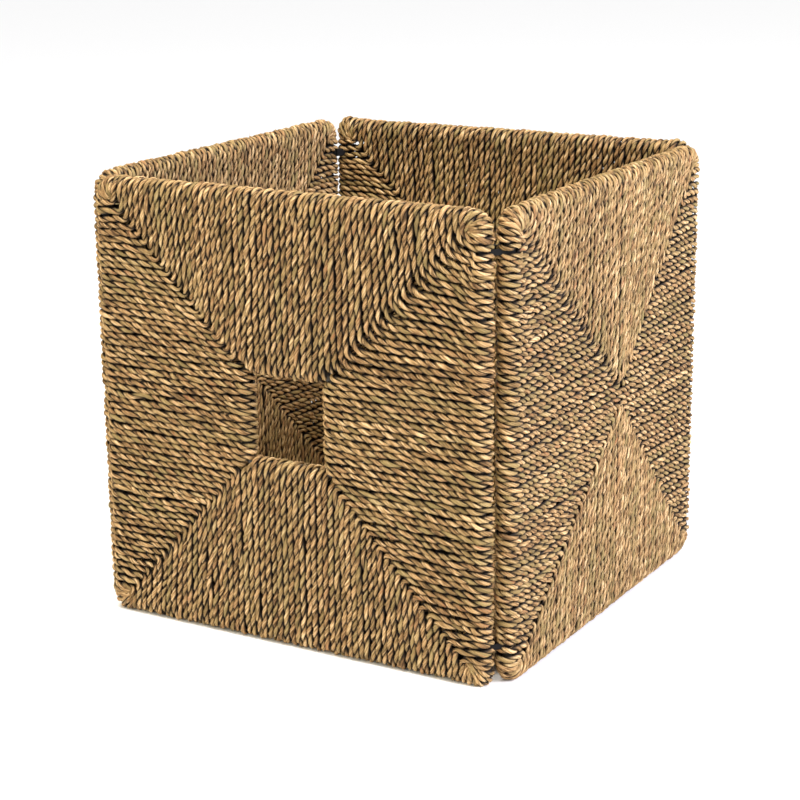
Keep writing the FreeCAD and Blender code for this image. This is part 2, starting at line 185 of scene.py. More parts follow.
def bent_wrap(at_rods, in_field, bend, lean):
    """A wrap that cable ties push aside at the rods and that is back in its row some way in.

    `lean` is how much further from the corner the row is at its bend than at the rods."""
    r = cord_height()
    edge = HALF_THICKNESS
    (across, down), (x, z), (wide, tall) = at_rods, in_field, bend
    bend_x, bend_z = x + lean, z + lean
    cx, cz = bend_x - wide, bend_z - tall
    far_z, far_x = min(edge + CLOSE_AGAIN, (edge + cz) / 2), min(edge + CLOSE_AGAIN, (edge + cx) / 2)
    near_z, near_x = edge + STAY_PARTED * (far_z - edge), edge + STAY_PARTED * (far_x - edge)
    row_x = x + lean * (far_z - edge) / (cz - edge)
    row_z = z + lean * (far_x - edge) / (cx - edge)
    upright = [(across, edge), (across, near_z), (row_x, far_z), (bend_x, cz)]
    level = [(cx, bend_z), (far_x, row_z), (near_x, down), (edge, down)]
    return joined(
        [turn((across, 0, edge), IN, (0, 0, -1), r)]
        + runs(upright, -r, OUT)
        + [flat_turn((cx, -r, cz), (wide, 0, 0), (0, 0, tall), OUT)]
        + runs(level, -r, OUT)
        + [turn((edge, 0, down), OUT, (-1, 0, 0), r + SIDE_SWELL)]
        + runs(level[::-1], r, IN)
        + [flat_turn((cx, r, cz), (0, 0, tall), (wide, 0, 0), IN)]
        + runs(upright[::-1], r, IN)
    )


print("a wrap's middle runs", round(ROUND_ROD + TIGHTEST, 2), "mm or more from the middle of its rod")

# %% Rings, straight wraps and filling cords
def corner_ring(angle, reach, swell):
    """A short ring round the rod's own bend, at the tip of the corner."""
    hub = HALF_THICKNESS + ROD_BEND
    outward = (-math.sin(angle), 0, -math.cos(angle))
    centre = (hub + ROD_BEND * outward[0], 0, hub + ROD_BEND * outward[2])
    return turn(centre, IN, outward, ROUND_ROD, 2 * math.pi, reach, swell)


def two_rod_wrap(first, first_out, second, second_out):
    r = cord_height()
    a, b = np.array([first[0], 0, first[1]]), np.array([second[0], 0, second[1]])
    face = np.array([0, r, 0])
    return joined([
        turn(a, IN, (first_out[0], 0, first_out[1]), r),
        run(a - face, b - face, OUT),
        turn(b, OUT, (second_out[0], 0, second_out[1]), r),
        run(b + face, a + face, IN),
    ])


def stuffing(near, far, half_width):
    """A cord laid double between the two faces, along the diagonal, where the bends leave gaps."""
    near, far = np.array([near, 0, near]), np.array([far[0], 0, far[1]])
    ahead = (far - near) / np.linalg.norm(far - near)
    aside = np.array([-ahead[2], 0, ahead[0]])
    ahead, aside = ahead * half_width, aside * half_width
    return joined([
        run(near + aside, far + aside, OUT),
        flat_turn(far, aside, ahead, OUT, math.pi),
        run(far - aside, near - aside, OUT),
        flat_turn(near, -aside, -ahead, OUT, math.pi),
    ])


print("a ring round the rod's bend has", len(corner_ring(math.pi / 4, 0, 0)[0]), "points")

# %% [markdown]
# ## Where the wraps sit
# Wraps sit side by side along a rod, except where a cable tie passes between two of them and keeps them
# apart. `places` spreads a number of wraps over a stretch of rod and leaves those partings free.

# %% Spread wraps along a rod
def stretches(first, last, partings):
    edges = [first]
    for middle, width in sorted(partings):
        edges += [middle - width / 2, middle + width / 2]
    edges.append(last)
    return list(zip(edges[::2], edges[1::2]))


def wraps_that_fit(first, last, partings):
    length = sum(b - a for a, b in stretches(first, last, partings))
    return 1 + len(partings) + length / WRAP_PITCH


def places(first, last, count, partings):
    parts = stretches(first, last, partings)
    lengths = np.array([b - a for a, b in parts])
    spaces = count - len(parts)
    ends = np.round(np.cumsum(lengths) / lengths.sum() * spaces).astype(int)
    shares = np.diff(np.concatenate([[0], ends]))
    return np.concatenate([np.linspace(a, b, n + 1) for (a, b), n in zip(parts, shares)])


print("100 mm of rod takes", round(wraps_that_fit(0, 100, ()), 1), "wraps")

# %% [markdown]
# ## Twisting the strands
# A path becomes cord in three moves. It is smoothed a little, because cord doesn't take sharp corners, and
# nudged by slow waves, because no hand-made wrap is straight. Then two strands are wound round it:
# at each step the strand's centre sits a millimetre off the path, in a direction that turns with the lay.
# The mesh is made straight from arrays, since a panel has a few hundred thousand faces. In the cell for
# the two strands, the pairs in brackets are a wave's length in millimetres and its size.

# %% Waves and smoothing
WAVES_ADDED, WAVES_TOGETHER = 3, 1.7


def slow_wave(count, length, wave, size):
    """A closed, smooth wobble with about the given wavelength."""
    at = np.arange(count) / count * 2 * math.pi
    total = np.zeros(count)
    for k in range(WAVES_ADDED):
        cycles = max(1, round(length / wave * (0.6 + 0.5 * k)))
        total += draws.normal() * np.sin(cycles * at + draws.uniform(0, 2 * math.pi))
    return total * size / WAVES_TOGETHER


def smoothed(values, width):
    """A closed low-pass filter, `width` steps wide."""
    cycles = np.fft.rfftfreq(len(values))[:, None]
    keep = np.exp(-2 * (math.pi * cycles * width) ** 2)
    return np.fft.irfft(np.fft.rfft(values, axis=0) * keep, n=len(values), axis=0)


def unit(v):
    return v / np.linalg.norm(v, axis=1, keepdims=True)


print("a spike of 1 smooths down to", round(float(smoothed(np.eye(50)[:, :1], 2).max()), 2))

# %% Even steps along a path
FINE_STEPS, SMOOTH_OVER = 3, 1.1
FEWEST_STEPS = 12


def even_steps(points, outward, step):
    ends = np.vstack([points, points[:1]])
    along = np.concatenate([[0], np.cumsum(np.linalg.norm(np.diff(ends, axis=0), axis=1))])
    count = max(FEWEST_STEPS, round(along[-1] / step)) * FINE_STEPS
    at = np.arange(count) / count * along[-1]
    facing = np.vstack([outward, outward[:1]])
    p = np.column_stack([np.interp(at, along, ends[:, k]) for k in range(3)])
    n = np.column_stack([np.interp(at, along, facing[:, k]) for k in range(3)])
    width = SMOOTH_OVER / (along[-1] / count)
    return smoothed(p, width)[::FINE_STEPS], unit(smoothed(n, width))[::FINE_STEPS], along[-1]


ring_steps, _, ring_length = even_steps(*corner_ring(math.pi / 4, 0, 0), RING_STEP)
print("a corner ring is", round(ring_length, 1), "mm long and gets", len(ring_steps), "steps")

# %% Two strands round a path
SWAY_OUT, SWAY_ASIDE = (36, 0.2), (55, 0.38)
TWIST_DRIFT = (45, 0.5)
LONG_SWELLING, SHORT_SWELLING, LEAF_FOLD = (30, 0.06), (8, 0.055), (18, 0.10)
LAY_LEAST, LAY_MOST = 0.88, 1.12
PLUMP_LEAST, PLUMP_MOST = 0.93, 1.07
LEAF_LENGTH, FEWEST_LEAVES = 28, 3
LEAF_CHANGE, LEAF_OWN = 0.6, 0.4


def strands(points, outward, step):
    """Two rings of vertices per step, with what the finish needs to know about each vertex."""
    p, n, length = even_steps(points, outward, step)
    count = len(p)
    t = unit(np.roll(p, -1, axis=0) - np.roll(p, 1, axis=0))
    n = unit(n - (n * t).sum(1, keepdims=True) * t)
    b = np.cross(t, n)
    sway_out = slow_wave(count, length, *SWAY_OUT)[:, None]
    sway_aside = slow_wave(count, length, *SWAY_ASIDE)[:, None]
    p = p + n * sway_out + b * sway_aside
    turns = max(1, round(length / (LAY * draws.uniform(LAY_LEAST, LAY_MOST))))
    phase = np.arange(count) / count * 2 * math.pi * turns + draws.uniform(0, 2 * math.pi)
    phase = phase + slow_wave(count, length, *TWIST_DRIFT)
    theta = np.arange(RING_SIDES) / RING_SIDES * 2 * math.pi
    plump = draws.uniform(PLUMP_LEAST, PLUMP_MOST)
    made = []
    for strand in range(2):
        angle = phase + math.pi * strand
        off = np.cos(angle)[:, None] * n + np.sin(angle)[:, None] * b
        side = np.cos(angle)[:, None] * b - np.sin(angle)[:, None] * n
        swelling = slow_wave(count, length, *LONG_SWELLING)
        swelling = 1 + swelling + slow_wave(count, length, *SHORT_SWELLING)
        fat = plump * swelling[:, None, None]
        folds = 1 + np.column_stack([slow_wave(count, length, *LEAF_FOLD) for _ in theta])
        ring = (
            STRAND_THICK * np.cos(theta)[None, :, None] * off[:, None, :]
            + STRAND_WIDE * np.sin(theta)[None, :, None] * side[:, None, :]
        ) * fat * folds[:, :, None]
        v = (p + STRAND_OFFSET * off)[:, None, :] + ring
        lift = ((v - p[:, None, :]) * n[:, None, :]).sum(2) / CORD_RADIUS
        leaves = max(FEWEST_LEAVES, round(length / LEAF_LENGTH))
        leaf = [
            LEAF_CHANGE * closed_steps(draws.uniform(0, 1, leaves), count) + draws.uniform(0, LEAF_OWN)
            for _ in range(3)
        ]
        made.append({
            "v": v,
            "lift": lift,
            "leaf": np.column_stack(leaf),
            "step": length / count,
            "closed": True,
            "line": p,
            "ahead": t,
            "outward": n,
        })
    return made


def closed_steps(values, count):
    """Stretch a few random values smoothly over a closed loop of `count` steps."""
    at = np.arange(count) / count * len(values)
    low = np.floor(at).astype(int)
    share = at - low
    share = share * share * (3 - 2 * share)
    return values[low] * (1 - share) + values[(low + 1) % len(values)] * share


print("between two leaf values, halfway:", closed_steps(np.array([0.0, 1.0]), 4)[1])

# %% [markdown]
# ## A piece from many strands
# Every corner of a panel is one Blender object. Beside its faces it keeps three things for the material:
# how far a point stands out from the panel, what kind of leaf it is, and a flat map along and around the
# strand for the fibres. A second map packs all strands in rows, so that the finish can be baked.

# %% Faces of one strand
def strand_grid(rings, closed):
    """Ring and side number of each face. An open strand has no faces after its last ring."""
    return np.meshgrid(np.arange(rings if closed else rings - 1), np.arange(RING_SIDES), indexing="ij")


def strand_faces(rings, first, closed):
    i, j = strand_grid(rings, closed)
    ni, nj = (i + 1) % rings, (j + 1) % RING_SIDES
    here, there = i * RING_SIDES, ni * RING_SIDES
    return first + np.stack([here + j, here + nj, there + nj, there + j], -1).reshape(-1, 4)


print("a closed strand of 10 rings has", len(strand_faces(10, 0, True)), "faces")

# %% A mesh object and its maps
def new_mesh_object(name, verts, faces):
    mesh = bpy.data.meshes.new(name)
    mesh.vertices.add(len(verts))
    mesh.vertices.foreach_set("co", verts.astype(np.float32).ravel())
    mesh.loops.add(faces.size)
    mesh.loops.foreach_set("vertex_index", faces.astype(np.int32).ravel())
    mesh.polygons.add(len(faces))
    mesh.polygons.foreach_set("loop_start", (np.arange(len(faces)) * faces.shape[1]).astype(np.int32))
    mesh.update(calc_edges=True)
    mesh.polygons.foreach_set("use_smooth", np.ones(len(faces), bool))
    thing = bpy.data.objects.new(name, mesh)
    bpy.context.scene.collection.objects.link(thing)
    return thing


def add_map(mesh, name, values):
    layer = mesh.uv_layers.new(name=name)
    layer.data.foreach_set("uv", values.astype(np.float32).ravel())


# %% One object from many strands
LEAF_SHIFT = 100
FIBRES_PER_METRE = 100
ROW_MARGIN, ROW_USED = 0.04, 0.92


def wound_piece(name, pieces_of_cord, place):
    around = 2 * math.pi * math.sqrt((STRAND_THICK**2 + STRAND_WIDE**2) / 2)
    total = sum(len(s["v"]) for s in pieces_of_cord)
    mean_step = np.mean([s["step"] for s in pieces_of_cord])
    per_row = math.ceil(math.sqrt(total * around / mean_step))
    rows = math.ceil(total / per_row)
    verts, faces, lift, leaf, fibre, packed = [], [], [], [], [], []
    first, done = 0, 0
    for s in pieces_of_cord:
        rings = len(s["v"])
        verts.append(s["v"].reshape(-1, 3))
        faces.append(strand_faces(rings, first, s["closed"]))
        lift.append(s["lift"].ravel())
        leaf.append(np.repeat(s["leaf"], RING_SIDES, axis=0))
        i, j = strand_grid(rings, s["closed"])
        i, j = i.ravel()[:, None], j.ravel()[:, None]
        di, dj = np.array([[0, 0, 1, 1]]), np.array([[0, 1, 1, 0]])
        seed = draws.uniform(0, LEAF_SHIFT)
        round_it = (j + dj) / RING_SIDES
        along_it = seed + (i + di) * s["step"] * MM * FIBRES_PER_METRE
        fibre.append(np.stack([round_it, along_it], -1).reshape(-1, 2))
        spot = done + i
        u = (spot % per_row + di) / per_row
        v = (spot // per_row + ROW_MARGIN + ROW_USED * (j + dj) / RING_SIDES) / rows
        packed.append(np.stack([u, v], -1).reshape(-1, 2))
        first += rings * RING_SIDES
        done += rings
    thing = new_mesh_object(name, place(np.vstack(verts)) * MM, np.vstack(faces))
    mesh = thing.data
    add_map(mesh, "fibre", np.vstack(fibre))
    add_map(mesh, "OFBake", np.vstack(packed))
    lift_values = np.concatenate(lift).astype(np.float32)
    mesh.attributes.new("lift", "FLOAT", "POINT").data.foreach_set("value", lift_values)
    colour = np.column_stack([np.vstack(leaf), np.ones(first)]).astype(np.float32)
    mesh.attributes.new("leaf", "FLOAT_COLOR", "POINT").data.foreach_set("color", colour.ravel())
    return thing


# %% [markdown]
# ## Setting a panel in place
# All panels are wound flat, as on a bench: x across, y into the panel, z up. Turning and moving
# the points afterwards puts the panel where its rod frame stands. Cord that would dip below the floor is
# pressed flat on it.

# %% Place functions
FLOOR_GAP = 0.05


def place_wall(quarter_turns):
    c = round(math.cos(quarter_turns * math.pi / 2))
    s = round(math.sin(quarter_turns * math.pi / 2))

    def place(v):
        x, y = v[:, 0], v[:, 1] - WALL_MIDDLE
        return np.column_stack([c * x - s * y, s * x + c * y, np.maximum(v[:, 2], FLOOR_GAP)])

    return place


def place_base(v):
    return np.column_stack([v[:, 0], v[:, 2], np.maximum(BASE_LEVEL - v[:, 1], FLOOR_GAP)])


print("middle of the front wall at y =", round(-WALL_MIDDLE, 2), ", of the base at z =", round(BASE_LEVEL, 2))

# %% [markdown]
# ## Laying out a corner
# The first few turns are short rings round the bend of the rod. After them come bent wraps, each one a
# cord's thickness further in. Most seams turn sharply. The two beside the front right corner's top
# were wound looser and turn in a curve, so the bend and the lean are arguments. Where the wraps bend,
# light would show through the panel, so a few cords are laid along the diagonal between the two faces.

# %% Wraps of one corner
RING_ANGLES = [9, 23, 38, 52, 67, 81]
FIRST_WRAP = 18.0
SHARP, CURVED = ((2.4, 2.4), 3.0), ((14.0, 11.0), -3.0)
SQUARE_SWELL = [0.8, 2.6, 4.0, 4.0, 2.6, 0.8]
ROUND_SWELL = [0.2, 0.5, 0.8, 0.8, 0.5, 0.2]
RING_REACH = 3
ROW_WANDER = 0.4
BEND_LEAST, BEND_MOST = 0.75, 1.25
TIGHTER_INWARDS = 0.4
ROOM_SHARE = 0.8
STUFFING_START, STUFFING_STOP = 30.0, 8
STUFFING_WIDTHS = (2.3, 6.9, 11.5)


def wander(values, size):
    return values + draws.uniform(-size, size, len(values))


def corner_paths(last_across, last_down, style, swells, part_across, part_down=()):
    fit_across = wraps_that_fit(FIRST_WRAP, last_across, part_across)
    fit_down = wraps_that_fit(FIRST_WRAP, last_down, part_down)
    count = round((fit_across + fit_down) / 2)
    across = places(FIRST_WRAP, last_across, count, part_across)
    down = places(FIRST_WRAP, last_down, count, part_down)
    field_x = wander(np.linspace(FIRST_WRAP, last_across, count), ROW_WANDER)
    field_z = wander(np.linspace(FIRST_WRAP, last_down, count), ROW_WANDER)
    paths = [
        corner_ring(math.radians(angle), draws.uniform(0, RING_REACH), swell)
        for angle, swell in zip(RING_ANGLES, swells)
    ]
    bend, lean = style
    for k, (x, z) in enumerate(zip(field_x, field_z)):
        share = k / (count - 1)
        wanted = np.array(bend) * (1 - TIGHTER_INWARDS * share) * draws.uniform(BEND_LEAST, BEND_MOST)
        room = ROOM_SHARE * (np.array([x, z]) - HALF_THICKNESS)
        bowed = lean * 4 * share * (1 - share)
        paths.append(bent_wrap((across[k], down[k]), (x, z), np.minimum(wanted, room), bowed))
    far = (last_across - STUFFING_STOP, last_down - STUFFING_STOP)
    inside = [stuffing(STUFFING_START, far, width) for width in STUFFING_WIDTHS]
    return paths, inside


def from_corner(path, side, edge_x, edge_z, up):
    """Corner measures to panel measures. `side` is -1 or 1, `up` is -1 at the top and 1 at the bottom."""
    points, facing = path
    moved = np.column_stack([side * (edge_x - points[:, 0]), points[:, 1], edge_z + up * points[:, 2]])
    turned = np.column_stack([-side * facing[:, 0], facing[:, 1], up * facing[:, 2]])
    return moved, turned


print("each corner starts with", len(RING_ANGLES), "rings, and bent wraps from", FIRST_WRAP, "mm on")

# %% [markdown]
# ## Finish: seagrass
# Dry seagrass is straw coloured with olive and rust-brown leaves among it, and every leaf has fine ribs
# along it. The colour could be one brown with noise on top. Here the leaf values of each strand choose
# between straw, olive and rust, and stretched noise draws the ribs. The side of a strand that faces into
# the panel is darkened: this is painted shade for the grooves between the cords.

# %% Nodes and links
def new_material(name):
    material = bpy.data.materials.new(name)
    material.use_nodes = True
    tree = material.node_tree
    tree.nodes.clear()
    output = tree.nodes.new("ShaderNodeOutputMaterial")
    shader = tree.nodes.new("ShaderNodeBsdfPrincipled")
    tree.links.new(shader.outputs["BSDF"], output.inputs["Surface"])
    return material, tree, shader


def node(tree, kind, **settings):
    made = tree.nodes.new(kind)
    for key, value in settings.items():
        setattr(made, key, value)
    return made


def link(tree, source, target):
    tree.links.new(source, target)


def number(tree, operation, a, b, clamp=False):
    made = node(tree, "ShaderNodeMath", operation=operation, use_clamp=clamp)
    for socket, value in zip(made.inputs, (a, b)):
        if isinstance(value, (int, float)):
            socket.default_value = value
        else:
            link(tree, value, socket)
    return made.outputs[0]


# %% Colour, noise and bump nodes
NOISE_ROUGHNESS = 0.6


def mixed(tree, share, a, b):
    made = node(tree, "ShaderNodeMix", data_type="RGBA")
    for socket, value in zip((made.inputs[0], made.inputs[6], made.inputs[7]), (share, a, b)):
        if isinstance(value, (int, float)):
            socket.default_value = value
        elif isinstance(value, tuple):
            socket.default_value = (*value, 1)
        else:
            link(tree, value, socket)
    return made.outputs[2]


def ramp(tree, value, stops):
    made = node(tree, "ShaderNodeValToRGB")
    while len(made.color_ramp.elements) < len(stops):
        made.color_ramp.elements.new(0.5)
    for element, (at, colour) in zip(made.color_ramp.elements, stops):
        element.position = at
        element.color = (*colour, 1)
    link(tree, value, made.inputs[0])
    return made.outputs[0]


def stretched_noise(tree, vector, scale, detail):
    place = node(tree, "ShaderNodeMapping")
    place.inputs["Scale"].default_value = scale
    link(tree, vector, place.inputs["Vector"])
    noise = node(tree, "ShaderNodeTexNoise")
    noise.inputs["Scale"].default_value = 1.0
    noise.inputs["Detail"].default_value = detail
    noise.inputs["Roughness"].default_value = NOISE_ROUGHNESS
    link(tree, place.outputs[0], noise.inputs["Vector"])
    return noise.outputs["Fac"]


def add_bump(tree, shader, height, strength, depth):
    bump = node(tree, "ShaderNodeBump")
    bump.inputs["Strength"].default_value = strength
    bump.inputs["Distance"].default_value = depth
    link(tree, height, bump.inputs["Height"])
    link(tree, bump.outputs[0], shader.inputs["Normal"])


print("noise roughness for every finish", NOISE_ROUGHNESS)

# %% Seagrass material
STRAW = [
    (0.0, (0.080, 0.038, 0.011)),
    (0.35, (0.26, 0.140, 0.051)),
    (0.65, (0.50, 0.305, 0.126)),
    (1.0, (0.84, 0.595, 0.32)),
]
OLIVE = (0.25, 0.192, 0.066)
RUST = (0.31, 0.120, 0.040)
# Painted shade: the near-black colour mixed into each strand's side that faces into the panel.
PAINTED_GROOVE_SHADE = (0.010, 0.0048, 0.0016)
RIB_SCALE, RIB_DETAIL, RIB_GAIN = (14, 1.1, 1), 2, 1.3
BLADE_SCALE, BLADE_DETAIL, BLADE_GAIN = (6.5, 1.0, 1), 1, 2.0
TONE_GAIN = 0.5
OLIVE_FROM, OLIVE_GAIN = 0.38, 1.3
RUST_FROM, RUST_GAIN, RUST_PATCHES = 0.85, 2.2, 2.2
PAINTED_SHADE_STARTS, PAINTED_SHADE_IS_FULL = 0.82, 0.10
SEAGRASS_ROUGHNESS, STREAK_SMOOTHS = 0.70, 0.15
SEAGRASS_BUMP, SEAGRASS_BUMP_DEPTH = 0.7, 0.0005
SEAGRASS_GLOSS = 0.35


def around_half(tree, value, gain):
    """A value's distance from one half, made larger or smaller."""
    return number(tree, "MULTIPLY", number(tree, "SUBTRACT", value, 0.5), gain)


def seagrass_material():
    material, tree, shader = new_material("seagrass")
    flat = node(tree, "ShaderNodeUVMap", uv_map="fibre").outputs[0]
    leaf = node(tree, "ShaderNodeSeparateColor")
    link(tree, node(tree, "ShaderNodeAttribute", attribute_name="leaf").outputs["Color"], leaf.inputs[0])
    tone, green, red = leaf.outputs[0], leaf.outputs[1], leaf.outputs[2]
    ribs = stretched_noise(tree, flat, RIB_SCALE, RIB_DETAIL)
    blades = stretched_noise(tree, flat, BLADE_SCALE, BLADE_DETAIL)
    streak = number(tree, "ADD", around_half(tree, ribs, RIB_GAIN), around_half(tree, blades, BLADE_GAIN))
    tone_and_streak = number(tree, "ADD", around_half(tree, tone, TONE_GAIN), streak)
    level = number(tree, "ADD", tone_and_streak, 0.5, True)
    straw = ramp(tree, level, STRAW)
    green_enough = number(tree, "SUBTRACT", green, OLIVE_FROM, True)
    with_olive = mixed(tree, number(tree, "MULTIPLY", green_enough, OLIVE_GAIN), straw, OLIVE)
    red_patches = number(tree, "ADD", red, around_half(tree, blades, RUST_PATCHES))
    red_enough = number(tree, "SUBTRACT", red_patches, RUST_FROM, True)
    with_rust = mixed(tree, number(tree, "MULTIPLY", red_enough, RUST_GAIN, True), with_olive, RUST)
    lift = node(tree, "ShaderNodeAttribute", attribute_name="lift").outputs["Fac"]
    # Painted shade for the grooves between the cords: the less a point stands out, the more of the dark
    # colour it gets.
    hidden = node(tree, "ShaderNodeMapRange", interpolation_type="SMOOTHSTEP")
    hidden.inputs["From Min"].default_value = PAINTED_SHADE_STARTS
    hidden.inputs["From Max"].default_value = PAINTED_SHADE_IS_FULL
    link(tree, lift, hidden.inputs["Value"])
    finished = mixed(tree, hidden.outputs[0], with_rust, PAINTED_GROOVE_SHADE)
    link(tree, finished, shader.inputs["Base Color"])
    add_bump(tree, shader, streak, SEAGRASS_BUMP, SEAGRASS_BUMP_DEPTH)
    smoother = number(tree, "MULTIPLY", streak, STREAK_SMOOTHS)
    link(tree, number(tree, "SUBTRACT", SEAGRASS_ROUGHNESS, smoother), shader.inputs["Roughness"])
    shader.inputs["Specular IOR Level"].default_value = SEAGRASS_GLOSS
    return material


seagrass = seagrass_material()
print(seagrass.name, "material has", len(seagrass.node_tree.nodes), "nodes")

# %% [markdown]
# ## Winding the walls
# A plain wall has four corners of bent wraps. A wall is a little higher than it is wide, so its upper and
# lower corners don't quite meet, and a pair of straight wraps fills the middle. On the right wall the
# corners meet a little towards the back, as its maker left it. A corner stands for half of each of the
# two CAD windings that meet there.

# %% How the walls are laid out
UPPER_EDGE = WALL_HIGH_ROD + HALF_THICKNESS
LOWER_EDGE = WALL_LOW_ROD - HALF_THICKNESS
WALL_CENTRE = (UPPER_EDGE + LOWER_EDGE) / 2
LOOSE_CORNERS = [("front", 1), ("right", -1)]
SQUARE_CORNERS = [("front", False), ("back", True), ("left", False)]
TIE_PARTING = 5.4
BASE_TIE_PARTING = 11.4
MEETING_SHIFT = {"right": 13.0, "back": -3.0, "left": 4.0}
SIDE_NAMES = {
    "front": ("left", "right"),
    "right": ("front", "back"),
    "back": ("right", "left"),
    "left": ("back", "front"),
}
print("walls from", round(LOWER_EDGE, 2), "to", round(UPPER_EDGE, 2), "mm high")

# %% Wind and dress one piece
HIDDEN_STEP = 3.0
wall_cord = {wall: [] for wall in WALLS}


def dress(thing, body, material, stands_for=()):
    thing.data.materials.append(material)
    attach(thing, body)
    if stands_for:
        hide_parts(*stands_for)
    return thing


def wind(name, body, paths, place, stands_for, hidden=(), step=RING_STEP):
    cord = []
    for points, facing in paths:
        cord += strands(points, facing, step)
    shown = list(cord)
    for points, facing in hidden:
        cord += strands(points, facing, HIDDEN_STEP)
    thing = dress(wound_piece(name, cord, place), body, seagrass, stands_for)
    print(name, "wraps", len(paths), "faces", len(thing.data.polygons))
    return shown


def wall_corner(wall, side, upper, last_across, last_down):
    tie_at = TIE_FROM_TOP if upper else TIE_FROM_FLOOR - LOWER_EDGE
    part_across = ()
    if wall == "back" and not upper:
        part_across = ((WALL_HALF_WIDTH - BASE_TIE_X, BASE_TIE_PARTING),)
    style = CURVED if upper and (wall, side) in LOOSE_CORNERS else SHARP
    swells = SQUARE_SWELL if (wall, upper) in SQUARE_CORNERS else ROUND_SWELL
    groups = corner_paths(last_across, last_down, style, swells, part_across, ((tie_at, TIE_PARTING),))
    edge_z, up = (UPPER_EDGE, -1) if upper else (LOWER_EDGE, 1)
    return [[from_corner(p, side, WALL_HALF_WIDTH, edge_z, up) for p in group] for group in groups]


def wind_wall_corner(wall, place, side, side_name, upper, last_across, last_down):
    rail = "top" if upper else "bottom"
    paths, inside = wall_corner(wall, side, upper, last_across, last_down)
    stands_for = (f"{wall}_{rail}_winding", f"{wall}_{side_name}_winding")
    name = f"{wall}_wraps_{rail}_{side_name}"
    wall_cord[wall] += wind(name, "walls", paths, place, stands_for, inside)


# %% Wind the three plain walls
STRAIGHT_PAIR = 2
for quarter, wall in enumerate(WALLS):
    place = place_wall(quarter)
    if wall == "front":
        continue
    shift = MEETING_SHIFT[wall]
    last_down = (UPPER_EDGE - LOWER_EDGE) / 2 - (STRAIGHT_PAIR / 2 + 0.5) * WRAP_PITCH
    for side, side_name in zip((-1, 1), SIDE_NAMES[wall]):
        last_across = WALL_HALF_WIDTH - side * shift - WRAP_PITCH / 2
        for upper in (True, False):
            wind_wall_corner(wall, place, side, side_name, upper, last_across, last_down)
    rod_x = WALL_HALF_WIDTH - HALF_THICKNESS
    levels = WALL_CENTRE + WRAP_PITCH * (np.arange(STRAIGHT_PAIR) - (STRAIGHT_PAIR - 1) / 2)
    straight = [two_rod_wrap((rod_x, z), (1, 0), (-rod_x, z), (-1, 0)) for z in levels]
    stands_for = tuple(f"{wall}_{n}_winding" for n in SIDE_NAMES[wall])
    wall_cord[wall] += wind(f"{wall}_wraps_middle", "walls", straight, place, stands_for)

# %% [markdown]
# ## Winding the front wall
# The front wall has a hand hole: a small rod frame that hangs in the middle of the wraps. Above and
# below it the wraps go straight from the wall's rod to the hole's rod and back, and so do the ones beside
# it. The last few lie past the hole's corner. They stop where they meet each other, on a line that runs
# out from the corner at 45 degrees.

# %% Wind the front wall
HOLE_CENTRE = (HOLE_ROD_LOW + HOLE_ROD_HIGH) / 2
HOLE_HALF_HEIGHT = (HOLE_ROD_HIGH - HOLE_ROD_LOW) / 2
HOLE_UPRIGHTS, HOLE_LEVELS = 8, 8
HOLE_WANDER = 0.25


def beside_the_hole(at, half_opening, rod):
    """Where a wrap ends: at the hole's rod or, past the hole's side, on the line at 45 degrees."""
    return rod + max(0.0, at - half_opening)


def hole_wraps():
    rod_x = WALL_HALF_WIDTH - HALF_THICKNESS
    half_wide, half_high = HOLE_ROD_X - HALF_THICKNESS, HOLE_HALF_HEIGHT - HALF_THICKNESS
    paths = []
    for side in (-1, 1):
        for k in range(HOLE_UPRIGHTS):
            at = (k + 0.5) * WRAP_PITCH + draws.uniform(-HOLE_WANDER, HOLE_WANDER)
            away = beside_the_hole(at, half_wide, HOLE_HALF_HEIGHT)
            for up, rod_z in ((1, WALL_HIGH_ROD), (-1, WALL_LOW_ROD)):
                inner = (side * at, HOLE_CENTRE + up * away)
                paths.append(two_rod_wrap((side * at, rod_z), (0, up), inner, (0, -up)))
        for k in range(HOLE_LEVELS):
            at = (k + 0.5) * WRAP_PITCH + draws.uniform(-HOLE_WANDER, HOLE_WANDER)
            away = beside_the_hole(at, half_high, HOLE_ROD_X)
            for up in (1, -1):
                level = HOLE_CENTRE + up * at
                outer, inner = (side * rod_x, level), (side * away, level)
                paths.append(two_rod_wrap(outer, (side, 0), inner, (-side, 0)))
    return paths


place = place_wall(0)
for side, side_name in zip((-1, 1), SIDE_NAMES["front"]):
    last_across = WALL_HALF_WIDTH - (HOLE_UPRIGHTS + 0.5) * WRAP_PITCH
    for upper in (True, False):
        half_height = UPPER_EDGE - HOLE_CENTRE if upper else HOLE_CENTRE - LOWER_EDGE
        last_down = half_height - (HOLE_LEVELS + 0.5) * WRAP_PITCH
        wind_wall_corner("front", place, side, side_name, upper, last_across, last_down)
stands_for = tuple(f"front_{n}_winding" for n in ("top", "bottom", "left", "right"))
wall_cord["front"] += wind("front_wraps_hole", "walls", hole_wraps(), place, stands_for)

# %% [markdown]
# ## Winding the base
# The base is a square panel that lies inside the walls. Two ties hold its back rail to the back wall's
# bottom rod, and the wraps are parted there, wide enough for the base to swing up without touching the
# ties. The base is seen from above and from below only, so its wraps can be a little coarser.

# %% Wind the base
BASE_STEP = 1.9
for side, side_name in zip((-1, 1), ("left", "right")):
    for at_back, rail in ((True, "back"), (False, "front")):
        last = BASE_HALF_WIDTH - WRAP_PITCH / 2
        partings = ((BASE_HALF_WIDTH - BASE_TIE_X, BASE_TIE_PARTING),) if at_back else ()
        groups = corner_paths(last, last, SHARP, ROUND_SWELL, partings)
        edge, inward = (BASE_HALF_WIDTH, -1) if at_back else (-BASE_HALF_WIDTH, 1)
        paths, inside = [[from_corner(p, side, BASE_HALF_WIDTH, edge, inward) for p in g] for g in groups]
        stands_for = (f"base_{rail}_winding", f"base_{side_name}_winding")
        name = f"base_wraps_{rail}_{side_name}"
        wind(name, "base_flap", paths, place_base, stands_for, inside, BASE_STEP)

